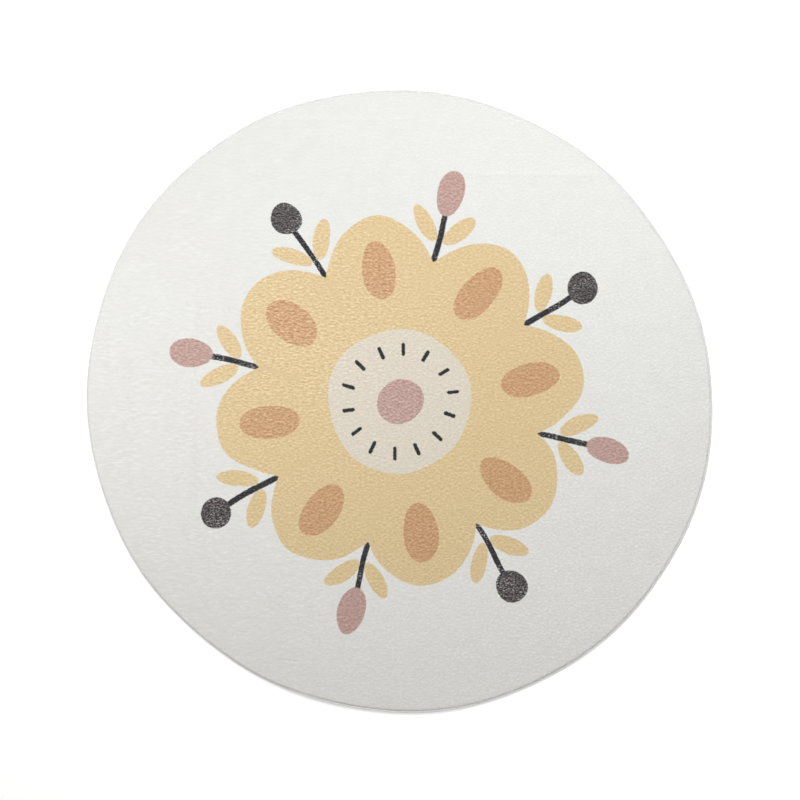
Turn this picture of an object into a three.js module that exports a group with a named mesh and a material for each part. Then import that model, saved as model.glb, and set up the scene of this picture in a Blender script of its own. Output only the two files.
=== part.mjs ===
// Round play rug: one disc of short-pile cloth, its cut edge wrapped in overlocking yarn.
// Millimetres, +Z up. The rug lies face up on the floor at z = 0 with the origin under its middle,
// +X to its right and +Y to its top as it is looked down on.

import * as THREE from "three";

// Driving dimensions
const meanRadius = 600;
const baseThick = 2.4; // woven base and backing, without the pile
const pileTop = 7.6; // floor to the tips of the pile
const shoulderWide = 9; // the pile reaches full height this far in from its own edge
const shoulderLow = 4.6; // height at which the pile starts to lean in
const backingRamp = 6; // the backing comes down to the floor this far in from the yarn
const yarnReach = 5; // overlocking over the face and under the back, in from the edge
const yarnThick = 1.1;
const yarnCorner = 1.8; // rounding of the wrapped edge
const clearance = 0.3; // between the cloth and the yarn round it

// Fineness of the solids
const sidesRound = 120;
const cornerSteps = 2;
const shoulderSteps = 2;
const creaseZone = 380; // the rings are closer outside this radius, where the creases are
const closeStep = 14;
const wideStep = 47;

// How the cut strays from a true circle: pulled out along the bias, then cut a little unevenly.
// Each row swings in and out by reach, lobes times a turn, first outward at the angle given.
const cutSways = [
  { lobes: 2, reach: 6.2, firstOut: -39 },
  { lobes: 3, reach: 0.5, firstOut: 9 },
  { lobes: 5, reach: 0.6, firstOut: -13 },
  { lobes: 11, reach: 1.0, firstOut: -16 },
];

// Old folds of the packed rug, still raised as soft ridges in its face.
// along is the ridge's direction, counted from +X, and half of its length lies each side of x, y.
const creases = [
  { x: -95, y: 540, along: 1, halfLength: 150, halfWidth: 17, rise: 0.5 },
  { x: 256, y: 436, along: -2, halfLength: 150, halfWidth: 15, rise: 0.6 },
  { x: -525, y: 0, along: 91, halfLength: 300, halfWidth: 20, rise: 0.45 },
  { x: -392, y: 10, along: 89, halfLength: 290, halfWidth: 15, rise: 0.4 },
];
const fullRiseShare = 0.6; // of a crease's half length, before it starts to die away

// Broad swells of the lying cloth, each a wave across the face.
const swells = [
  { towards: 35, wavelength: 460, rise: 0.16, shift: 0.4 },
  { towards: 118, wavelength: 330, rise: 0.12, shift: 1.7 },
  { towards: -24, wavelength: 240, rise: 0.08, shift: 3.1 },
];

// Finishes
const ivoryPile = { color: 0xe9e4d8, roughness: 0.95, metalness: 0 };
const ivoryYarn = { color: 0xf2efe6, roughness: 0.85, metalness: 0 };

const radians = THREE.MathUtils.degToRad;

function cutSway(angle) {
  let sway = 0;
  for (const row of cutSways) {
    sway += row.reach * Math.cos(row.lobes * (angle - radians(row.firstOut)));
  }
  return sway;
}

// The box of the swayed outline is a little off the circle's middle, and the rug is centred on it.
function outlineMiddle() {
  const box = new THREE.Box2();
  for (let side = 0; side < sidesRound; side += 1) {
    const angle = (side / sidesRound) * 2 * Math.PI;
    const radius = meanRadius + cutSway(angle);
    box.expandByPoint(new THREE.Vector2(radius * Math.cos(angle), radius * Math.sin(angle)));
  }
  return box.getCenter(new THREE.Vector2());
}

function creaseRise(x, y) {
  let rise = 0;
  for (const fold of creases) {
    const direction = radians(fold.along);
    const ahead = (x - fold.x) * Math.cos(direction) + (y - fold.y) * Math.sin(direction);
    const aside = (y - fold.y) * Math.cos(direction) - (x - fold.x) * Math.sin(direction);
    const across = Math.exp(-((aside / fold.halfWidth) ** 2));
    const fadeStart = fullRiseShare * fold.halfLength;
    const ends = 1 - THREE.MathUtils.smoothstep(Math.abs(ahead), fadeStart, fold.halfLength);
    rise += fold.rise * across * ends;
  }
  return rise;
}

function swellRise(x, y) {
  let rise = 0;
  for (const wave of swells) {
    const direction = radians(wave.towards);
    const ahead = x * Math.cos(direction) + y * Math.sin(direction);
    rise += wave.rise * Math.sin((2 * Math.PI * ahead) / wave.wavelength + wave.shift);
  }
  return rise;
}

// Turns a profile of radius and height round the middle, then pulls it out to the cut's outline.
function turnedToCut(profile, middle) {
  const geometry = new THREE.LatheGeometry(profile, sidesRound);
  geometry.rotateX(Math.PI / 2);
  const position = geometry.getAttribute("position");
  for (let i = 0; i < position.count; i += 1) {
    const radius = Math.hypot(position.getX(i), position.getY(i));
    const angle = Math.atan2(position.getY(i), position.getX(i));
    const cutRadius = radius * (1 + cutSway(angle) / meanRadius);
    const x = cutRadius * Math.cos(angle) - middle.x;
    const y = cutRadius * Math.sin(angle) - middle.y;
    position.setXYZ(i, x, y, position.getZ(i));
  }
  return geometry;
}

// Gives the pile's face its creases and swells. They fade out down the shoulder.
function raisePile(geometry) {
  const position = geometry.getAttribute("position");
  for (let i = 0; i < position.count; i += 1) {
    const x = position.getX(i);
    const y = position.getY(i);
    const height = position.getZ(i);
    const inPile = Math.max(0, (height - shoulderLow) / (pileTop - shoulderLow));
    position.setZ(i, height + inPile * (creaseRise(x, y) + swellRise(x, y)));
  }
  return geometry;
}

// Radii of the face's rings from the shoulder in, closer together where the creases lie.
function faceRings(outermost) {
  const radii = [];
  let radius = outermost - closeStep;
  while (radius > wideStep / 2) {
    radii.push(radius);
    radius -= radius > creaseZone ? closeStep : wideStep;
  }
  return radii;
}

// The cloth: flat back, a thin bare rim that the yarn wraps, and the pile with its round shoulder.
function pileClothProfile() {
  const rimRadius = meanRadius - yarnThick - clearance;
  const pileRadius = meanRadius - yarnReach - clearance;
  const rimBottom = yarnThick + clearance;
  const rimTop = rimBottom + baseThick;
  const shoulderRadius = pileRadius - shoulderWide;
  const path = new THREE.Path();
  path.moveTo(0, 0);
  path.lineTo(pileRadius - backingRamp, 0);
  path.lineTo(pileRadius, rimBottom);
  path.lineTo(rimRadius, rimBottom);
  path.lineTo(rimRadius, rimTop);
  path.lineTo(pileRadius, rimTop);
  path.lineTo(pileRadius, shoulderLow);
  path.absellipse(
    shoulderRadius, shoulderLow, shoulderWide, pileTop - shoulderLow, 0, Math.PI / 2, false, 0,
  );
  const profile = path.getPoints(shoulderSteps);
  for (const radius of faceRings(shoulderRadius)) {
    profile.push(new THREE.Vector2(radius, pileTop));
  }
  profile.push(new THREE.Vector2(0, pileTop));
  return profile;
}

// The yarn: a ring of C section that holds the cloth's bare rim, open towards the middle.
function edgeOverlockProfile() {
  const openRadius = meanRadius - yarnReach;
  const wallRadius = meanRadius - yarnThick;
  const cornerRadius = meanRadius - yarnCorner;
  const height = 2 * (yarnThick + clearance) + baseThick;
  const path = new THREE.Path();
  path.moveTo(openRadius, 0);
  path.lineTo(cornerRadius, 0);
  path.absarc(cornerRadius, yarnCorner, yarnCorner, -Math.PI / 2, 0, false);
  path.absarc(cornerRadius, height - yarnCorner, yarnCorner, 0, Math.PI / 2, false);
  path.lineTo(openRadius, height);
  path.lineTo(openRadius, height - yarnThick);
  path.lineTo(wallRadius, height - yarnThick);
  path.lineTo(wallRadius, yarnThick);
  path.lineTo(openRadius, yarnThick);
  path.lineTo(openRadius, 0);
  return path.getPoints(cornerSteps);
}

function clothMesh(name, geometry, finish) {
  geometry.computeVertexNormals();
  const mesh = new THREE.Mesh(geometry, new THREE.MeshStandardMaterial(finish));
  mesh.name = name;
  return mesh;
}

const middle = outlineMiddle();
const pileCloth = raisePile(turnedToCut(pileClothProfile(), middle));
const edgeOverlock = turnedToCut(edgeOverlockProfile(), middle);
const rug = new THREE.Group();
rug.add(clothMesh("pile_cloth", pileCloth, ivoryPile));
rug.add(clothMesh("edge_overlock", edgeOverlock, ivoryYarn));

export default rug;
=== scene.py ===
# Round play rug: short printed pile on a backed base, its cut edge wrapped in overlocking yarn.
import math

import bpy
import numpy as np
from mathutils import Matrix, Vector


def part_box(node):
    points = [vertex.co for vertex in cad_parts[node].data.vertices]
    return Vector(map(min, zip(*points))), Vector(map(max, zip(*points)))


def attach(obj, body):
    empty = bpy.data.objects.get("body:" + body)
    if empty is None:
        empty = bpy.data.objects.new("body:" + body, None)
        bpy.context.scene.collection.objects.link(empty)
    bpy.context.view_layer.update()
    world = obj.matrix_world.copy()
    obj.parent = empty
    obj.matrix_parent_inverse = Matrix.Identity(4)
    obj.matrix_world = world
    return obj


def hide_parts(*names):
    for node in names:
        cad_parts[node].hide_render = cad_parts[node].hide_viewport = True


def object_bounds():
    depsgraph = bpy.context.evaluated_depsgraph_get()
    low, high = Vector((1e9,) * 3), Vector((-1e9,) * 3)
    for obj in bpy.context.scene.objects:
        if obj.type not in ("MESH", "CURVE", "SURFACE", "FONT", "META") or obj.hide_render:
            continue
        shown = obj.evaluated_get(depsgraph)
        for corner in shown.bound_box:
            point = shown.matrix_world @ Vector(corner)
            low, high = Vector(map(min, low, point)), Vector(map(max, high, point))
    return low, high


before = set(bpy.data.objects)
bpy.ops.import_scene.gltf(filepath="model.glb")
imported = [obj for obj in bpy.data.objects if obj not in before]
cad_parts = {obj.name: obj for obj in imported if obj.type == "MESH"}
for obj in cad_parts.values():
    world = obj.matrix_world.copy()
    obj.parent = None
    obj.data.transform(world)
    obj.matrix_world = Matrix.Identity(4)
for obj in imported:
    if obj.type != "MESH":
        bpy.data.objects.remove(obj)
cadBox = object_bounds()

mm = 0.001
turnAngle = 2 * math.pi


# Geometry helpers

def ringOutline(node, reach=12):
    # The edge's radius at any angle: a short Fourier sum fitted to the outer wall of the CAD ring.
    points = np.array([v.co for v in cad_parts[node].data.vertices])
    low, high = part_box(node)
    atMiddle = np.abs(points[:, 2] - (low.z + high.z) / 2) < 0.2 * (high.z - low.z)
    points = points[atMiddle]
    angles = np.arctan2(points[:, 1], points[:, 0])
    radii = np.hypot(points[:, 0], points[:, 1])

    def waves(at):
        at = np.asarray(at)[..., None] * np.arange(1, reach + 1)
        return np.concatenate([np.ones(at.shape[:-1] + (1,)), np.cos(at), np.sin(at)], axis=-1)

    weights = np.linalg.lstsq(waves(angles), radii, rcond=None)[0]
    return lambda at: waves(at) @ weights


outline = ringOutline("edge_overlock")


def softNoise(x, y, sizeX, sizeY, seed):
    # Smooth lumps from -1 to 1, each about sizeX by sizeY metres.
    reach = 0.75  # past the rug's edge
    count = [int(2 * reach / size) + 3 for size in (sizeX, sizeY)]
    lattice = np.random.default_rng(seed).uniform(-1, 1, (count[1], count[0]))
    u = (np.clip(x, -reach, reach) + reach) / sizeX
    v = (np.clip(y, -reach, reach) + reach) / sizeY
    i, j = np.floor(u).astype(int), np.floor(v).astype(int)
    fu, fv = u - i, v - j
    fu, fv = fu * fu * (3 - 2 * fu), fv * fv * (3 - 2 * fv)
    low = lattice[j, i] * (1 - fu) + lattice[j, i + 1] * fu
    high = lattice[j + 1, i] * (1 - fu) + lattice[j + 1, i + 1] * fu
    return low * (1 - fv) + high * fv


def summedNoise(x, y, rows):
    # Lumps of several sizes together: each row gives a share, then what softNoise takes.
    return sum(share * softNoise(x, y, *row) for share, *row in rows)


def smoothStep(value, start, end):
    share = np.clip((value - start) / (end - start), 0, 1)
    return share * share * (3 - 2 * share)


def unitRows(vectors):
    return vectors / np.linalg.norm(vectors, axis=1)[:, None]


def meshPiece(name, points, faceGroups, materials):
    # faceGroups is a list of (faces, material index, smooth), each faces array with its own corner count.
    mesh = bpy.data.meshes.new(name)
    mesh.vertices.add(len(points))
    mesh.vertices.foreach_set("co", np.asarray(points, np.float32).ravel())
    corners = np.concatenate([faces.ravel() for faces, _, _ in faceGroups])
    sizes = np.concatenate([np.full(len(faces), faces.shape[1]) for faces, _, _ in faceGroups])
    mesh.loops.add(len(corners))
    mesh.loops.foreach_set("vertex_index", corners.astype(np.int32))
    mesh.polygons.add(len(sizes))
    starts = np.concatenate([[0], np.cumsum(sizes)[:-1]])
    mesh.polygons.foreach_set("loop_start", starts.astype(np.int32))
    slots = np.concatenate([np.full(len(faces), slot) for faces, slot, _ in faceGroups])
    smooth = np.concatenate([np.full(len(faces), isSmooth) for faces, _, isSmooth in faceGroups])
    mesh.update(calc_edges=True)
    mesh.polygons.foreach_set("material_index", slots.astype(np.int32))
    mesh.polygons.foreach_set("use_smooth", smooth.astype(bool))
    for material in materials:
        mesh.materials.append(material)
    mesh.validate()
    piece = bpy.data.objects.new(name, mesh)
    bpy.context.scene.collection.objects.link(piece)
    return piece


def bakeMap(piece, places):
    # A flat map for the print: places holds one spot for each face corner.
    layer = piece.data.uv_layers.new(name="OFBake")
    layer.data.foreach_set("uv", np.asarray(places, np.float32).ravel())


def joinRings(inner, outer):
    # Quads between two closed loops of points that run the same way round.
    return np.stack([inner, outer, np.roll(outer, -1), np.roll(inner, -1)], axis=1)


# Shader helpers

class Term:
    # One socket of a shader, so that sums on it can be written as plain Python.
    def __init__(self, shader, socket):
        self.shader = shader
        self.socket = socket

    def maths(self, operation, *terms):
        return self.shader.add("ShaderNodeMath", {"operation": operation}, dict(enumerate(terms)))

    def __add__(self, other):
        return self.maths("ADD", self, other)

    def __sub__(self, other):
        return self.maths("SUBTRACT", self, other)

    def __rsub__(self, other):
        return self.maths("SUBTRACT", other, self)

    def __mul__(self, other):
        return self.maths("MULTIPLY", self, other)

    def __truediv__(self, other):
        return self.maths("DIVIDE", self, other)

    __radd__ = __add__
    __rmul__ = __mul__

    def least(self, other):
        return self.maths("MINIMUM", self, other)

    def most(self, other):
        return self.maths("MAXIMUM", self, other)

    def held(self):
        return self.most(0).least(1)

    def past(self, start, steepness):
        # From 0 at start to 1, the sooner the steeper.
        return ((self - start) * steepness).held()


class Shader:
    # A material's nodes. add() makes any node: its settings first, then values or links by socket.
    def __init__(self, name):
        self.material = bpy.data.materials.new(name)
        self.material.use_nodes = True
        self.tree = self.material.node_tree
        self.tree.nodes.clear()

    def add(self, kind, settings, sockets, output=0):
        node = self.tree.nodes.new(kind)
        for name, value in settings.items():
            setattr(node, name, value)
        for name, value in sockets.items():
            if isinstance(value, Term):
                self.tree.links.new(value.socket, node.inputs[name])
            else:
                node.inputs[name].default_value = value
        return Term(self, node.outputs[output]) if len(node.outputs) else None

    def mixColour(self, mask, under, over):
        settings = {"data_type": "RGBA", "clamp_factor": True}
        return self.add("ShaderNodeMix", settings, {0: mask, 6: under, 7: over}, output=2)

    def noise(self, place, scale, detail=2.0, roughness=0.5, output=0):
        # scale is about how many lumps there are in one unit of place.
        sockets = {"Vector": place, "Scale": scale, "Detail": detail, "Roughness": roughness}
        return self.add("ShaderNodeTexNoise", {}, sockets, output)

    def objectPlace(self):
        return self.add("ShaderNodeTexCoord", {}, {}, output="Object")

    def split(self, place):
        return [self.add("ShaderNodeSeparateXYZ", {}, {0: place}, output=axis) for axis in range(3)]

    def joined(self, x, y, z=0.0):
        return self.add("ShaderNodeCombineXYZ", {}, {0: x, 1: y, 2: z})

    def bumped(self, strength, rise, height):
        return self.add("ShaderNodeBump", {}, {"Strength": strength, "Distance": rise, "Height": height})

    def finished(self, surface):
        self.add("ShaderNodeOutputMaterial", {}, {"Surface": surface})
        return self.material


def colour(red, green, blue):
    return (red, green, blue, 1.0)


# The print: a rounded flower with berries, buds and leaves between its petals

dyes = {
    "ivory": colour(0.785, 0.788, 0.766),
    "warmIvory": colour(0.785, 0.771, 0.737),  # ivory a little warmer, laid on most towards the bottom and left as painted warm light
    "amber": colour(0.719, 0.554, 0.313),
    "terracotta": colour(0.585, 0.347, 0.185),
    "beige": colour(0.722, 0.660, 0.553),
    "blush": colour(0.512, 0.340, 0.300),
    "charcoal": colour(0.058, 0.050, 0.049),
    "nearBlack": colour(0.026, 0.026, 0.030),
    "greyed": colour(0.640, 0.605, 0.595),  # undyed fibre among the charcoal and the black
}

# Each oval and stroke lies along a line out from the flower's middle, and is repeated round it.
flower = {
    "petals": 8,
    "seeds": 14,
    "turned": math.radians(9),
    "petal": {"middle": 205 * mm, "halfLong": 150 * mm, "halfWide": 112 * mm},
    "spot": {"middle": 254 * mm, "halfLong": 58 * mm, "halfWide": 33 * mm},
    "berry": {"middle": 414 * mm, "halfLong": 31 * mm, "halfWide": 30 * mm},
    "bud": {"middle": 412 * mm, "halfLong": 45 * mm, "halfWide": 26 * mm},
    "leaf": {"middle": 344 * mm, "halfLong": 39 * mm, "halfWide": 16 * mm, "aside": 34 * mm, "lean": 0.72},
    "stem": {"start": 200 * mm, "end": 392 * mm, "halfWide": 5.5 * mm},
    "seed": {"start": 92 * mm, "end": 110 * mm, "halfWide": 3.6 * mm},
    "heartRadius": 138 * mm,
    "middleRadius": 44 * mm,
    "handSway": 26 * mm,  # how far the lines stray, as drawn by hand, and how rough the pile makes them
    "roughEdge": 3.0 * mm,
    "edgeSoft": 1.3 * mm,
    "depths": {"spot": 0.5, "bud": 1.4, "heart": 0.75, "middle": 0.85},  # of the dye, beside the amber's; they set how strong the painted highlights are
}

fading = {
    "fleckCell": (4.6 * mm, 2.8 * mm),
    "undyed": (0.44, 3.0),  # level of the noise where it starts, and how steeply it grows
    "bare": (0.53, 6.0),
    "worn": (0.42, 5.0),
    "undyedShare": 0.6,
    "bareShare": 0.8,  # in the charcoal, where it is worn
    "bareBlack": 0.2,  # in the black, where it isn't worn
    "warmedAndBlotched": (0.46, -0.25, -0.85),  # share of the painted warm light at the rug's middle, then its change for each metre along x and y
    "blotchy": 1.1,
}


def petalPlace(radius, angle, count, firstAt):
    # Folds the plane so that one petal's drawing repeats: along it, across it, and which one it is.
    step = turnAngle / count
    around = (angle - firstAt) / step
    which = around.maths("ROUND", around)
    local = (around - which) * step
    along = radius * local.maths("COSINE", local)
    across = radius * local.maths("SINE", local)
    return along, across, which


def filled(outside):
    # Mask of a shape, from how far outside its line each place is.
    return (0.5 - outside / flower["edgeSoft"]).held()


def ovalMask(along, across, middle, halfLong, halfWide, aside=0.0, lean=0.0):
    # Oval whose middle lies at (middle, aside), leaning by an angle.
    a, b = along - middle, across - aside
    if lean:
        a, b = a * math.cos(lean) + b * math.sin(lean), b * math.cos(lean) - a * math.sin(lean)
    far = (a / halfLong) * (a / halfLong) + (b / halfWide) * (b / halfWide)
    return filled((far.maths("SQRT", far) - 1) * min(halfLong, halfWide))


def strokeMask(along, across, start, end, halfWide):
    # Round-ended stroke along the fold's middle line.
    nearest = along.most(start).least(end)
    a = along - nearest
    far = a * a + across * across
    return filled(far.maths("SQRT", far) - halfWide)


def slope(x, y, level, perX, perY):
    # A level at the rug's middle that changes evenly across it, by so much for each metre.
    return x * perX + y * perY + level


def printColour(shader, place):
    # The flower's colours at a place on the face, drawn a little by hand and rough at the edges, with
    # masks of all that is printed and of the black strokes, and how deep the dye is.
    sway = shader.noise(place, 6.0, 1.0, output=1)
    fibre = shader.noise(place, 420.0, 1.0, output=1)
    placeX, placeY, _ = shader.split(place)
    swayX, swayY, _ = shader.split(sway)
    fibreX, fibreY, _ = shader.split(fibre)
    x = placeX + (swayX - 0.5) * flower["handSway"] + (fibreX - 0.5) * flower["roughEdge"]
    y = placeY + (swayY - 0.5) * flower["handSway"] + (fibreY - 0.5) * flower["roughEdge"]
    squared = x * x + y * y
    radius = squared.maths("SQRT", squared)
    angle = y.maths("ARCTAN2", y, x)

    count, first = flower["petals"], flower["turned"]
    along, across, _ = petalPlace(radius, angle, count, first)
    petal = ovalMask(along, across, **flower["petal"])
    spot = ovalMask(along, across, **flower["spot"])

    between, beside, which = petalPlace(radius, angle, count, first + math.pi / count)
    odd = which.maths("FLOORED_MODULO", which, 2)
    stem = strokeMask(between, beside, **flower["stem"])
    berry = ovalMask(between, beside, **flower["berry"]) * (1 - odd)
    bud = ovalMask(between, beside, **flower["bud"]) * odd
    leaf = ovalMask(between, beside.maths("ABSOLUTE", beside), **flower["leaf"])

    seedAlong, seedAcross, _ = petalPlace(radius, angle, flower["seeds"], first)
    seed = strokeMask(seedAlong, seedAcross, **flower["seed"])
    heart = filled(radius - flower["heartRadius"])
    middle = filled(radius - flower["middleRadius"])

    cellX, cellY = fading["fleckCell"]
    fleck = shader.noise(shader.joined(placeX / cellX, placeY / cellY), 1.0, 2.0, 0.7)
    undyed = fleck.past(*fading["undyed"])
    bare = fleck.past(*fading["bare"])
    worn = shader.noise(place, 24.0, 1.0).past(*fading["worn"])
    faded = (undyed * undyed * fading["undyedShare"] + bare * worn * fading["bareShare"]).held()
    charcoal = shader.mixColour(faded, dyes["charcoal"], dyes["greyed"])
    scraped = bare * (fading["bareBlack"] + worn * (1 - fading["bareBlack"]))
    black = shader.mixColour(scraped, dyes["nearBlack"], dyes["greyed"])

    blotches = shader.noise(place, 5.0, 1.0)
    # Painted warm light, growing towards the bottom and left, with random blotches of warmer tone.
    warmedAndBlotched = slope(placeX, placeY, *fading["warmedAndBlotched"]) + (blotches - 0.5) * fading["blotchy"]
    shade = shader.mixColour(warmedAndBlotched.held(), dyes["ivory"], dyes["warmIvory"])
    for mask, dye in (
        (stem, black),
        (leaf, dyes["amber"]),
        (berry, charcoal),
        (bud, dyes["blush"]),
        (petal, dyes["amber"]),
        (spot, dyes["terracotta"]),
        (heart, dyes["beige"]),
        (seed, dyes["nearBlack"]),
        (middle, dyes["blush"]),
    ):
        shade = shader.mixColour(mask, shade, dye)
    inked = petal.most(heart).most(stem).most(leaf).most(berry).most(bud)
    depths = flower["depths"]
    depth = (petal + spot * depths["spot"]).most(leaf).most(berry).most(bud * depths["bud"])
    depth = depth * (1 - heart) + heart * depths["heart"] + middle * depths["middle"]
    return shade, inked, stem.most(seed), depth


pile = {
    "rippleCell": (8.5 * mm, 3.8 * mm),  # brushed ripples, along and across
    "strokeCell": (15 * mm, 6.0 * mm),  # longer strokes where the pile is plain
    "grainCell": (5.2 * mm, 4.7 * mm),  # single locks
    "turn": 0.22,  # how far ahead of itself a wave is read, in its own width, to find its lit side
    "soft": 0.85,  # how much a lock's height counts beside its turn
    "wander": 9 * mm,
    "rippleAndSheenPatch": {"x": -0.20, "y": 0.13, "reach": 0.42},  # where the ripples stand highest and the painted highlights and sheen are strongest
    # painted sheen: a little white laid over that patch
    "patchPaintedSheen": 0.02,
    "calm": (0.60, 0.10, -0.45),  # smoothest along the rug's top and left
    "west": (0.35, -1.3, 0.0),  # the long strokes lie on the left
    "glintCalm": 0.25,  # painted highlights where the locks turn towards the light, over the print
    "glintWorked": 0.34,
    "glintWhite": 0.90,  # how white a glint is beside the dye's own colour
    "blackDull": 0.6,
    "plainStroke": 0.195,  # painted light and dark sides of the locks where the pile is plain
    "plainGrain": 0.28,
    "cloudy": 0.03,  # broad soft patches, a little lighter and darker
    "foldLights": [(-0.095, 0.540, 0.007), (0.256, 0.435, 0.009)],  # folds' middles, and how strongly their painted light and shade show
    "foldLightWide": 4.5 * mm,
    "foldLightLong": 150 * mm,
    "foldLightEnds": 60 * mm,
    "bumpStrength": 0.6,
    "bumpRise": 0.30 * mm,
    "bumpWorked": 0.8,
    "roughness": 0.85,
    "sheen": 0.15,
}


def brushedWaves(shader, x, y, cell):
    # One field of waves: its height, and how lit each spot is, which is mostly how far it turns
    # towards the top of the rug.
    across, down = x / cell[0], y / cell[1]
    height = shader.noise(shader.joined(across, down), 1.0, 1.5)
    ahead = shader.noise(shader.joined(across, down + pile["turn"]), 1.0, 1.5)
    return height - 0.5, height - ahead + (height - 0.5) * pile["soft"]


def paintedFoldLight(shader, x, y):
    # Painted light and shade along the folds: lighter above each line, which faces the light, darker below.
    light = 0
    for middleX, middleY, strength in pile["foldLights"]:
        away = (y - middleY) / pile["foldLightWide"]
        far = (x - middleX).maths("ABSOLUTE", x - middleX)
        ends = ((pile["foldLightLong"] - far) / pile["foldLightEnds"]).held()
        fade = away.maths("EXPONENT", 0 - away * away)
        light = away * fade * ends * (2.3 * strength) + light  # 2.3 brings the curve's peak to 1
    return light


def pileMaterial():
    shader = Shader("printed_pile")
    place = shader.objectPlace()
    x, y, _ = shader.split(place)
    wander = shader.noise(place, 14.0, 1.0)
    swayed = y + (wander - 0.5) * pile["wander"]
    ripple, rippleLit = brushedWaves(shader, x, swayed, pile["rippleCell"])
    _, strokeLit = brushedWaves(shader, x, swayed, pile["strokeCell"])
    grain, grainLit = brushedWaves(shader, x, swayed, pile["grainCell"])

    # How much of the patch each spot has: its ripples rise higher and its painted highlights and sheen are
    # brighter.
    aside, above = x - pile["rippleAndSheenPatch"]["x"], y - pile["rippleAndSheenPatch"]["y"]
    squared = aside * aside + above * above
    near = (1 - squared.maths("SQRT", squared) / pile["rippleAndSheenPatch"]["reach"]).held()
    patches = shader.noise(place, 7.0, 1.0)
    rippleAndSheenPatch = near * (0.4 + patches * 1.2)
    calm = slope(x, y, *pile["calm"]).held()

    shade, inked, black, depth = printColour(shader, place)
    # Painted highlights where the locks turn towards the light, stronger where the dye is deeper, and a
    # painted sheen over the rippled patch.
    lockHighlights = rippleLit * rippleAndSheenPatch * pile["glintWorked"] + grainLit * pile["glintCalm"]
    glint = (lockHighlights.most(lockHighlights * 0.7) + rippleAndSheenPatch * pile["patchPaintedSheen"]) * depth
    # Painted light and dark sides of the locks on the unprinted ground: long strokes on the left, short
    # grain elsewhere.
    west = slope(x, y, *pile["west"]).held()
    gathered = shader.noise(place, 22.0, 1.0) * 2.6 - 0.3
    longLockShading = strokeLit * gathered.most(0.4) * west * pile["plainStroke"]
    shortLockShading = grainLit * (1 - west * 0.7) * pile["plainGrain"]
    plainLockShading = longLockShading + shortLockShading
    # Broad random patches of tone, and the folds' painted light and shade.
    cloudsAndFoldLight = (shader.noise(place, 38.0, 2.0) - 0.5) * pile["cloudy"] + paintedFoldLight(shader, x, y)
    glint = glint + (plainLockShading.most(plainLockShading * 0.5) * calm + cloudsAndFoldLight) * (1 - inked)
    glint = glint * (1 - black * pile["blackDull"])
    # The painted highlights and shade are laid into the base colour, whitened by glintWhite.
    white = (pile["glintWhite"],) * 3
    glintColour = shader.add("ShaderNodeVectorMath", {"operation": "ADD"}, {0: shade, 1: white})
    lit = shader.add(
        "ShaderNodeVectorMath", {"operation": "MULTIPLY_ADD"},
        {0: shader.joined(glint, glint, glint), 1: glintColour, 2: shade},
    )
    height = ripple * rippleAndSheenPatch * pile["bumpWorked"] + grain * calm
    bumped = shader.bumped(pile["bumpStrength"], pile["bumpRise"], height)
    surface = shader.add("ShaderNodeBsdfPrincipled", {}, {
        "Base Color": lit,
        "Roughness": pile["roughness"],
        "Specular IOR Level": 0.25,
        "Sheen Weight": pile["sheen"],
        "Sheen Roughness": 0.5,
        "Normal": bumped,
    })
    return shader.finished(surface)


backing = {
    "threads": 420,  # for each metre, both ways
    "contrast": 0.3,
    "shades": (colour(0.60, 0.57, 0.50), colour(0.70, 0.67, 0.60)),
    "bumpStrength": 0.6,
    "bumpRise": 0.4 * mm,
    "roughness": 0.9,
}


def backingMaterial():
    shader = Shader("woven_backing")
    place = shader.objectPlace()
    x, y, _ = shader.split(place)
    warp, weft = x * (turnAngle * backing["threads"]), y * (turnAngle * backing["threads"])
    weave = warp.maths("SINE", warp) * weft.maths("SINE", weft)
    slubs = shader.noise(place, 260.0, 2.0)
    shade = shader.mixColour((0.5 + weave * backing["contrast"]).held(), *backing["shades"])
    bumped = shader.bumped(backing["bumpStrength"], backing["bumpRise"], weave * 0.5 + slubs)
    surface = shader.add("ShaderNodeBsdfPrincipled", {}, {
        "Base Color": shade,
        "Roughness": backing["roughness"],
        "Specular IOR Level": 0.25,
        "Normal": bumped,
    })
    return shader.finished(surface)


yarn = {
    "shades": (colour(0.86, 0.865, 0.86), colour(0.94, 0.945, 0.94)),
    "bumpStrength": 0.5,
    "bumpRise": 0.3 * mm,
    "roughness": 0.8,
    "sheen": 0.2,
}


def yarnMaterial():
    shader = Shader("overlock_yarn")
    place = shader.objectPlace()
    fluff = shader.noise(place, 700.0, 3.0, 0.6)
    bumped = shader.bumped(yarn["bumpStrength"], yarn["bumpRise"], fluff)
    surface = shader.add("ShaderNodeBsdfPrincipled", {}, {
        "Base Color": shader.mixColour(fluff, *yarn["shades"]),
        "Roughness": yarn["roughness"],
        "Specular IOR Level": 0.3,
        "Sheen Weight": yarn["sheen"],
        "Normal": bumped,
    })
    return shader.finished(surface)


# The cloth

cloth = {
    "columns": 170,
    "rows": 450,
    "pileTop": 7.6 * mm,
    "bulgeHigh": 6.2 * mm,  # where the pile leans out furthest, over the yarn
    "shoulderWide": 4.6 * mm,
    "shoulderRings": 5,
    "tuckIn": 6.1 * mm,  # where it goes down behind the yarn
    "tuckHigh": 5.4 * mm,
    "rimIn": 1.4 * mm,
    "rimBottom": 1.4 * mm,
    "rimTop": 3.8 * mm,
    "backingRamp": 6 * mm,
    "upperMap": (0.4, 0.39),  # middle and reach of the face's round map, and of the back's
    "lowerMap": (0.9, 0.09),
}

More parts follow.
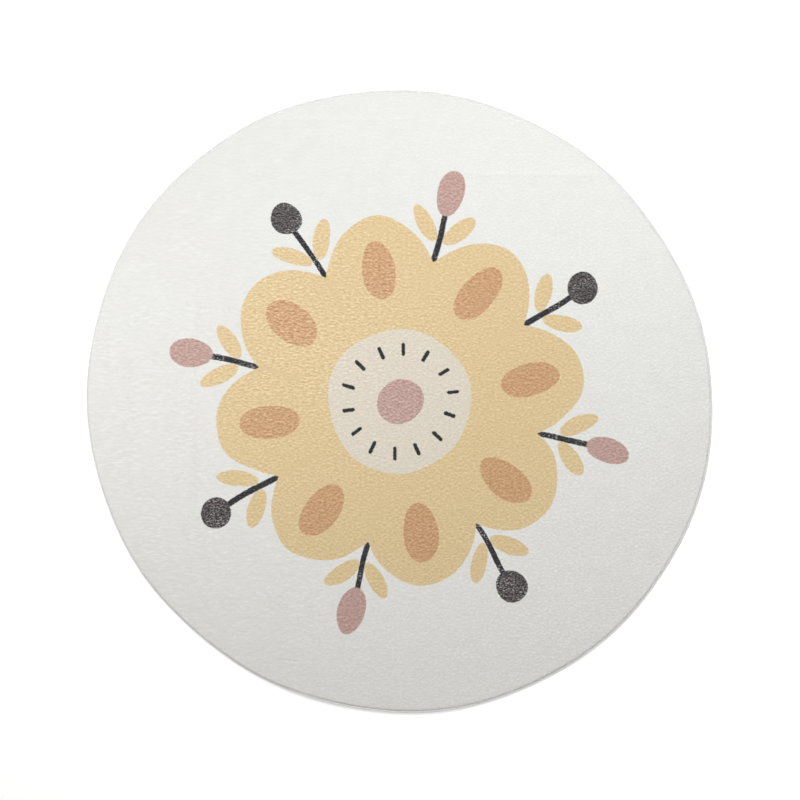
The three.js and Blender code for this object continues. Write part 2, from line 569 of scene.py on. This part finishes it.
# Degrees round from +X, how far in from the finished edge the pile's lean stops there, and how far the
# yarn has curled up.
rimRows = [
    (0, 4.2 * mm, 0.1 * mm),
    (30, 4.8 * mm, 0.2 * mm),
    (60, 5.0 * mm, 0.6 * mm),
    (115, 4.8 * mm, 0.7 * mm),
    (150, 3.7 * mm, 0.4 * mm),
    (180, 2.8 * mm, 0.2 * mm),
    (210, 3.0 * mm, 0.1 * mm),
    (240, 3.6 * mm, 0.0 * mm),
    (258, 5.4 * mm, 1.0 * mm),
    (276, 5.5 * mm, 1.0 * mm),
    (287, 4.6 * mm, 0.5 * mm),
    (303, 5.4 * mm, 0.0 * mm),
    (330, 5.0 * mm, 0.0 * mm),
]

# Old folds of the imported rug: soft ridges, half of each one's length either side of x and y. A ridge dies
# away over one width on its left, seen along it, and another on its right. round is how blunt its top is.
creases = [
    {"x": -0.095, "y": 0.540, "along": 0, "half": 0.15, "widths": (6, 20), "round": 0.2, "rise": 0.60},
    {"x": 0.256, "y": 0.435, "along": 0, "half": 0.15, "widths": (6, 20), "round": 0.2, "rise": 0.75},
    {"x": -0.525, "y": 0.000, "along": 91, "half": 0.30, "widths": (10, 10), "round": 1.8, "rise": 0.45},
    {"x": -0.392, "y": 0.010, "along": 89, "half": 0.29, "widths": (8, 8), "round": 1.8, "rise": 0.40},
]

swells = [
    {"towards": 35, "wavelength": 0.46, "rise": 0.16 * mm, "shift": 0.4},
    {"towards": 118, "wavelength": 0.33, "rise": 0.12 * mm, "shift": 1.7},
    {"towards": -24, "wavelength": 0.24, "rise": 0.08 * mm, "shift": 3.1},
]

# Waves that the brushed nap stands in. Rows for summedNoise: share, size along x and y, seed.
nap = {
    "rise": 0.10 * mm,
    "waves": [(1, 0.027, 0.0077, 14), (0.7, 0.016, 0.0059, 15)],
    "wander": [(0.006, 0.067, 0.170, 11), (0.0015, 0.019, 0.040, 12)],
    "patches": [(0.6, 0.13, 0.11, 13)],
    "least": 0.10,
    "deepens": (-0.15, 0.5),  # from the right to the left side, where it is deepest
}


def rimValue(angles, column):
    # A column of the rows above at any angles, eased from one row to the next.
    degrees = np.degrees(angles) % 360
    rows = np.array([*rimRows, (360, *rimRows[0][1:])])
    at, values = rows[:, 0], rows[:, column]
    after = np.clip(np.searchsorted(at, degrees, side="right"), 1, len(at) - 1)
    share = smoothStep(degrees, at[after - 1], at[after])
    return values[after - 1] * (1 - share) + values[after] * share


def leanedTo(angles):
    return rimValue(angles, 1)


def faceRise(x, y):
    # Creases, swells and the larger nap waves of the pile's face.
    rise = np.zeros_like(x)
    for fold in creases:
        direction = math.radians(fold["along"])
        across, down = x - fold["x"], y - fold["y"]
        ahead = across * math.cos(direction) + down * math.sin(direction)
        aside = down * math.cos(direction) - across * math.sin(direction)
        ends = 1 - smoothStep(np.abs(ahead), 0.6 * fold["half"], fold["half"])
        width = np.where(aside > 0, *fold["widths"]) * mm
        away = np.hypot(aside / width, fold["round"]) - fold["round"]
        rise += fold["rise"] * mm * np.exp(-away) * ends
    for wave in swells:
        direction = math.radians(wave["towards"])
        ahead = x * math.cos(direction) + y * math.sin(direction)
        rise += wave["rise"] * np.sin(turnAngle * ahead / wave["wavelength"] + wave["shift"])
    patches = 1 + summedNoise(x, y, nap["patches"])
    strength = (nap["least"] + (1 - nap["least"]) * smoothStep(-x, *nap["deepens"])) * patches
    waves = summedNoise(x, y + summedNoise(x, y, nap["wander"]), nap["waves"])
    return rise + nap["rise"] * strength * waves


def makeCloth(materials):
    columns, rows = cloth["columns"], cloth["rows"]
    u, v = np.meshgrid(np.linspace(-1, 1, columns + 1), np.linspace(-1, 1, rows + 1))
    unit = np.stack([u * np.sqrt(1 - v * v / 2), v * np.sqrt(1 - u * u / 2)], axis=-1).reshape(-1, 2)
    index = np.arange(len(unit)).reshape(rows + 1, columns + 1)
    loop = np.concatenate([index[0, :-1], index[:-1, -1], index[-1, :0:-1], index[:0:-1, 0]])
    faceQuads = np.stack(
        [index[:-1, :-1], index[:-1, 1:], index[1:, 1:], index[1:, :-1]], axis=-1,
    ).reshape(-1, 4)

    angles = np.arctan2(unit[:, 1], unit[:, 0])
    faceRadius = outline(angles) - leanedTo(angles) - cloth["shoulderWide"]
    face = unit * faceRadius[:, None]
    heights = cloth["pileTop"] + faceRise(face[:, 0], face[:, 1])
    points = [np.column_stack([face, heights])]
    places = [unit * np.mean(faceRadius)]

    # Each ring outside the face: how far in from the edge, how much of that is the pile's own leaning,
    # how high it is, and its share of the relief.
    profile = []
    for step in range(1, cloth["shoulderRings"] + 1):
        turned = math.pi / 2 * step / cloth["shoulderRings"]
        height = cloth["bulgeHigh"] + (cloth["pileTop"] - cloth["bulgeHigh"]) * math.cos(turned)
        profile.append((cloth["shoulderWide"] * (1 - math.sin(turned)), 1, height, math.cos(turned)))
    profile.append((cloth["tuckIn"] / 2, 0.5, cloth["tuckHigh"], 0))
    profile.append((cloth["tuckIn"], 0, cloth["tuckHigh"], 0))
    profile.append((cloth["tuckIn"], 0, cloth["rimTop"], 0))
    pileRings = len(profile)
    profile.append((cloth["rimIn"], 0, cloth["rimTop"], 0))
    profile.append((cloth["rimIn"], 0, cloth["rimBottom"], 0))
    profile.append((cloth["tuckIn"], 0, cloth["rimBottom"], 0))
    profile.append((cloth["tuckIn"] + cloth["backingRamp"], 0, 0, 0))

    around = unit[loop]
    around = around / np.hypot(around[:, 0], around[:, 1])[:, None]
    loopAngles = np.arctan2(around[:, 1], around[:, 0])
    edge, leaning = outline(loopAngles), leanedTo(loopAngles)
    inner, start = loop, len(unit)
    pileFaces, baseFaces = [faceQuads], []
    far = np.mean(edge - leaning) - cloth["shoulderWide"]
    before = (np.mean(leaning) + cloth["shoulderWide"], cloth["pileTop"])
    for ring, (offset, follows, height, share) in enumerate(profile):
        spots = around * (edge - offset - follows * leaning)[:, None]
        inset = offset + follows * np.mean(leaning)
        rise = share * faceRise(spots[:, 0], spots[:, 1])
        points.append(np.column_stack([spots, height + rise]))
        far += math.hypot(inset - before[0], height - before[1])
        places.append(around * far)
        before = (inset, height)
        outer = np.arange(start, start + len(loop))
        (pileFaces if ring < pileRings else baseFaces).append(joinRings(inner, outer))
        inner, start = outer, start + len(loop)
    points.append(np.zeros((1, 3)))
    places.append(np.zeros((1, 2)))
    centre = np.full(len(inner), start)
    under = np.stack([inner, centre, np.roll(inner, -1)], axis=1)

    groups = [
        (np.concatenate(pileFaces), 0, True),
        (np.concatenate(baseFaces), 1, True),
        (under, 1, False),
    ]
    piece = meshPiece("printed_cloth", np.concatenate(points), groups, materials)

    # Face, shoulder and rim lie on one round map, and the back on a small one in its corner.
    upperMiddle, upperReach = cloth["upperMap"]
    lowerMiddle, lowerReach = cloth["lowerMap"]
    upper = upperMiddle + np.concatenate(places) * (upperReach / far)
    lower = lowerMiddle + np.concatenate(points)[:, :2] * (lowerReach / np.mean(edge))
    corners = [upper[faces].reshape(-1, 2) for faces, _, _ in groups[:2]] + [lower[under].reshape(-1, 2)]
    bakeMap(piece, np.concatenate(corners))
    return piece


# The pile's tips

tips = {
    "spacing": 2.75 * mm,
    "pieces": 4,
    "length": 4.6 * mm,
    "halfWide": 0.42 * mm,
    "halfThick": 0.16 * mm,
    "sizes": (0.75, 1.25),
    "sunk": 0.40 * mm,
    "offEdge": 0.3 * mm,
    "rise": 0.027,  # how steeply a tip stands out of the face
    "laidRise": 0.014,  # the same at the rug's top, where the nap lies flattest
    "laidFrom": (0.05, 0.45),
    "rises": (0.7, 1.3),
    "rimRise": 0.20,  # added where the pile leans out over the edge
    "rimSmaller": 0.68,
    "steepest": 0.65,
    "fan": math.radians(14),  # how far the tips turn from +X, the way the nap is brushed
    "fanCell": (0.026, 0.012),
    "stray": 0.35,  # how far each one turns by itself, beside the fan
    "tilt": (0.02, 0.06),  # how unevenly the tips take the light, across and towards the rug's top
}


def pileHeight(x, y):
    # Height of the pile's face, with its round shoulder, at any place on the rug.
    angles = np.arctan2(y, x)
    inset = outline(angles) - leanedTo(angles) - np.hypot(x, y)
    share = np.clip(inset / cloth["shoulderWide"], 0, 1)
    rounded = np.sqrt(np.clip(1 - (1 - share) ** 2, 0, 1))
    shoulderHigh = cloth["pileTop"] - cloth["bulgeHigh"]
    return cloth["bulgeHigh"] + shoulderHigh * rounded + rounded * faceRise(x, y)


def makeTips(material):
    random = np.random.default_rng(5)
    spacing = tips["spacing"]
    reach = cadBox[1].x
    xs, ys = np.meshgrid(np.arange(-reach, reach, spacing), np.arange(-reach, reach, spacing))
    x = (xs + random.uniform(-0.5, 0.5, xs.shape) * spacing).ravel()
    y = (ys + random.uniform(-0.5, 0.5, ys.shape) * spacing).ravel()
    radius, angles = np.hypot(x, y), np.arctan2(y, x)
    inset = outline(angles) - leanedTo(angles) - radius
    kept = inset > tips["offEdge"]
    x, y, radius, inset = x[kept], y[kept], radius[kept], inset[kept]
    count = len(x)

    height = pileHeight(x, y)
    step = 0.4 * mm
    slopeX = (pileHeight(x + step, y) - pileHeight(x - step, y)) / (2 * step)
    slopeY = (pileHeight(x, y + step) - pileHeight(x, y - step)) / (2 * step)
    slopes = np.clip(np.column_stack([slopeX, slopeY]), -tips["steepest"], tips["steepest"])
    upward = unitRows(np.column_stack([-slopes, np.ones(count)]))

    heading = tips["fan"] * softNoise(x, y, *tips["fanCell"], 21)
    heading += random.normal(0, tips["stray"] * tips["fan"], count)
    ahead = np.column_stack([np.cos(heading), np.sin(heading), np.zeros(count)])
    outward = np.column_stack([x / radius, y / radius, np.zeros(count)])
    atRim = (1 - np.clip(inset / cloth["shoulderWide"], 0, 1))[:, None] ** 0.7
    ahead = ahead * (1 - 0.8 * atRim) + outward * 1.2 * atRim
    ahead = unitRows(ahead - upward * np.sum(ahead * upward, axis=1)[:, None])
    aside = np.cross(upward, ahead)

    size = random.uniform(*tips["sizes"], (count, 1)) * (1 - tips["rimSmaller"] * atRim)
    laid = smoothStep(y, *tips["laidFrom"])[:, None]
    rise = tips["rise"] + (tips["laidRise"] - tips["rise"]) * laid
    lift = rise * random.uniform(*tips["rises"], (count, 1)) + tips["rimRise"] * atRim
    root = np.column_stack([x, y, height]) - upward * tips["sunk"]
    tip = root + (ahead + upward * lift) * tips["length"] * size + upward * tips["sunk"] * 0.8
    left = root + aside * tips["halfWide"] * size
    right = root - aside * tips["halfWide"] * size
    back = root + upward * tips["halfThick"] * 2
    points = np.stack([left, right, back, tip], axis=1)

    # Each tip takes the light nearly as the face around it does.
    uneven = random.normal(0, 1, (count, 2)) * tips["tilt"]
    lit = unitRows(upward + np.column_stack([uneven, np.zeros(count)]))

    corners = np.array([[0, 1, 3], [1, 2, 3], [2, 0, 3], [0, 2, 1]])
    made = []
    groups = np.array_split(np.arange(count), tips["pieces"])
    for number, group in enumerate(groups):
        spots = points[group].reshape(-1, 3)
        faces = (corners[None] + 4 * np.arange(len(group))[:, None, None]).reshape(-1, 3)
        piece = meshPiece(f"pile_tips_{number + 1}", spots, [(faces, 0, True)], [material])
        piece.data.normals_split_custom_set_from_vertices(np.repeat(lit[group], 4, axis=0))
        flat = 0.5 + spots[:, :2] / (2.1 * reach)
        bakeMap(piece, flat[faces.ravel()])
        made.append(piece)
    print("pile tips:", count)
    return made


# The overlocked edge

overlock = {
    "stitches": 1080,
    "steps": 12,
    "sides": 6,
    "reach": 5.8 * mm,
    "halfWide": 1.95 * mm,
    "halfThick": 0.55 * mm,
    "widths": (0.9, 1.06),
    "square": 0.6,  # how squarely the yarn turns round the cloth's edge: 1 is an oval
    "uneven": 0.10 * mm,
    "furthestIn": 1.5 * mm,
}


def makeOverlock(material):
    low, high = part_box("edge_overlock")
    random = np.random.default_rng(8)
    turns, steps, sides = overlock["stitches"], overlock["steps"], overlock["sides"]
    count = turns * steps
    phase = turnAngle * np.arange(count) / steps
    angle = turnAngle * np.arange(count) / count
    thick = overlock["halfThick"]
    halfHigh = (high.z - low.z) / 2 - thick
    halfDeep = overlock["reach"] / 2 - thick

    def squared(value):
        return np.sign(value) * np.abs(value) ** overlock["square"]

    swell = np.repeat(random.normal(0, overlock["uneven"], turns), steps)
    depth = halfDeep + np.clip(swell, -overlock["furthestIn"], 0)
    inset = overlock["reach"] / 2 - depth * squared(np.cos(phase))
    height = (low.z + high.z) / 2 + halfHigh * squared(np.sin(phase))
    height += rimValue(angle, 2) * np.clip(squared(np.sin(phase)), 0, 1)
    radius = outline(angle) - inset
    path = np.column_stack([radius * np.cos(angle), radius * np.sin(angle), height])
    along = np.column_stack([-np.sin(angle), np.cos(angle), np.zeros(count)])
    tangent = unitRows(np.roll(path, -1, axis=0) - np.roll(path, 1, axis=0))
    outward = unitRows(np.cross(along, tangent))
    wide = overlock["halfWide"] * np.repeat(random.uniform(*overlock["widths"], turns), steps)
    rings = []
    for side in range(sides):
        spin = turnAngle * side / sides
        across = outward * (thick * math.cos(spin)) + along * (wide * math.sin(spin))[:, None]
        rings.append(path + across)
    points = np.stack(rings, axis=1).reshape(-1, 3)
    index = np.arange(count * sides).reshape(count, sides)
    ahead = np.roll(index, -1, axis=0)
    quads = np.stack([index, np.roll(index, -1, axis=1), np.roll(ahead, -1, axis=1), ahead], axis=-1)
    return meshPiece("edge_yarn", points, [(quads.reshape(-1, 4), 0, True)], [material])


# The room: pale floor, a wide soft light beyond the rug's top edge, and the camera above

photo = {
    "pixels": 800,
    "rugPixels": 625.8,
    "rugX": 399.6,  # where the rug's middle lies in the picture
    "rugY": 401.3,
    "lens": 85.0,
    "sensor": 36.0,
}

room = {
    "keyAt": (0.58, 1.30, 2.24),
    "keySize": 1.4,
    "keyPower": 52.7,
    "lightColour": (1.0, 1.0, 1.0),
    "fillAt": (-0.81, 0.10, 0.69),
    "fillSize": 0.44,
    "fillPower": 1.92,
    "worldColour": (1.0, 0.995, 0.97),
    "worldStrength": 0.10,
    "floorColour": colour(0.9, 0.9, 0.89),
    "floorGlow": 0.40,
    "floorBelow": 0.3 * mm,
    "floorReach": 9.0,
    "sweepRound": 2.5,
    "sweepSteps": 12,
    "wallHeight": 7.0,
    "sides": 96,
}


def makeCamera():
    scene = bpy.context.scene
    rugWidth = 2 * float(np.mean(outline(np.linspace(0, turnAngle, 361)[:-1])))
    perPixel = rugWidth / photo["rugPixels"]
    width = perPixel * photo["pixels"]
    distance = width * photo["lens"] / photo["sensor"]
    data = bpy.data.cameras.new("overhead_camera")
    data.lens = photo["lens"]
    data.sensor_width = photo["sensor"]
    camera = bpy.data.objects.new("overhead_camera", data)
    middle = photo["pixels"] / 2
    camera.location = (
        (middle - photo["rugX"]) * perPixel,
        (photo["rugY"] - middle) * perPixel,
        cloth["pileTop"] + distance,
    )
    scene.collection.objects.link(camera)
    scene.camera = camera


def makeRoom():
    scene = bpy.context.scene
    scene.view_settings.view_transform = "Standard"
    world = bpy.data.worlds.new("pale_room")
    world.use_nodes = True
    background = world.node_tree.nodes["Background"]
    background.inputs["Color"].default_value = (*room["worldColour"], 1.0)
    background.inputs["Strength"].default_value = room["worldStrength"]
    scene.world = world

    for name, place, size, power in (
        ("window_light", room["keyAt"], room["keySize"], room["keyPower"]),
        ("side_light", room["fillAt"], room["fillSize"], room["fillPower"]),
    ):
        light = bpy.data.lights.new(name, "AREA")
        light.shape = "SQUARE"
        light.size = size
        light.energy = power
        light.color = room["lightColour"]
        lamp = bpy.data.objects.new(name, light)
        lamp.location = place
        lamp.rotation_mode = "QUATERNION"
        lamp.rotation_quaternion = (-lamp.location).to_track_quat("-Z", "Y")
        lamp.visible_camera = False
        scene.collection.objects.link(lamp)

    shader = Shader("pale_floor")
    surface = shader.add("ShaderNodeBsdfPrincipled", {}, {
        "Base Color": room["floorColour"],
        "Roughness": 0.9,
        "Emission Color": colour(1.0, 1.0, 1.0),
        "Emission Strength": room["floorGlow"],
    })

    # The floor sweeps up into a wall all round, far outside the picture.
    level = cadBox[0].z - room["floorBelow"]
    section = [(room["floorReach"], level)]
    for step in range(1, room["sweepSteps"] + 1):
        turned = math.pi / 2 * step / room["sweepSteps"]
        away = room["floorReach"] + room["sweepRound"] * math.sin(turned)
        section.append((away, level + room["sweepRound"] * (1 - math.cos(turned))))
    section.append((section[-1][0], room["wallHeight"]))
    sides = room["sides"]
    angles = turnAngle * np.arange(sides) / sides
    points = [np.array([[0, 0, level]])]
    for away, height in section:
        ring = [away * np.cos(angles), away * np.sin(angles), np.full(sides, height)]
        points.append(np.column_stack(ring))
    loops = 1 + np.arange(len(section) * sides).reshape(-1, sides)
    inner = np.stack([np.zeros(sides, int), loops[0], np.roll(loops[0], -1)], axis=1)
    rings = np.concatenate([joinRings(near, far) for near, far in zip(loops[:-1], loops[1:])])
    faces = [(inner, 0, True), (rings, 0, True)]
    meshPiece("pale_floor", np.concatenate(points), faces, [shader.finished(surface)])


makeCamera()
makeRoom()
print("camera and room made")

pileFinish = pileMaterial()
printedCloth = makeCloth([pileFinish, backingMaterial()])
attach(printedCloth, "root")
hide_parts("pile_cloth")
print("cloth made:", len(printedCloth.data.polygons), "faces")

tipPieces = makeTips(pileFinish)
for tipPiece in tipPieces:
    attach(tipPiece, "root")

edgeYarn = makeOverlock(yarnMaterial())
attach(edgeYarn, "root")
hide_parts("edge_overlock")
print("edge wrapped:", len(edgeYarn.data.polygons), "faces")

cutAngles = np.linspace(0, turnAngle, 721)[:-1]
cutArea = float(np.mean(outline(cutAngles) ** 2) * math.pi)
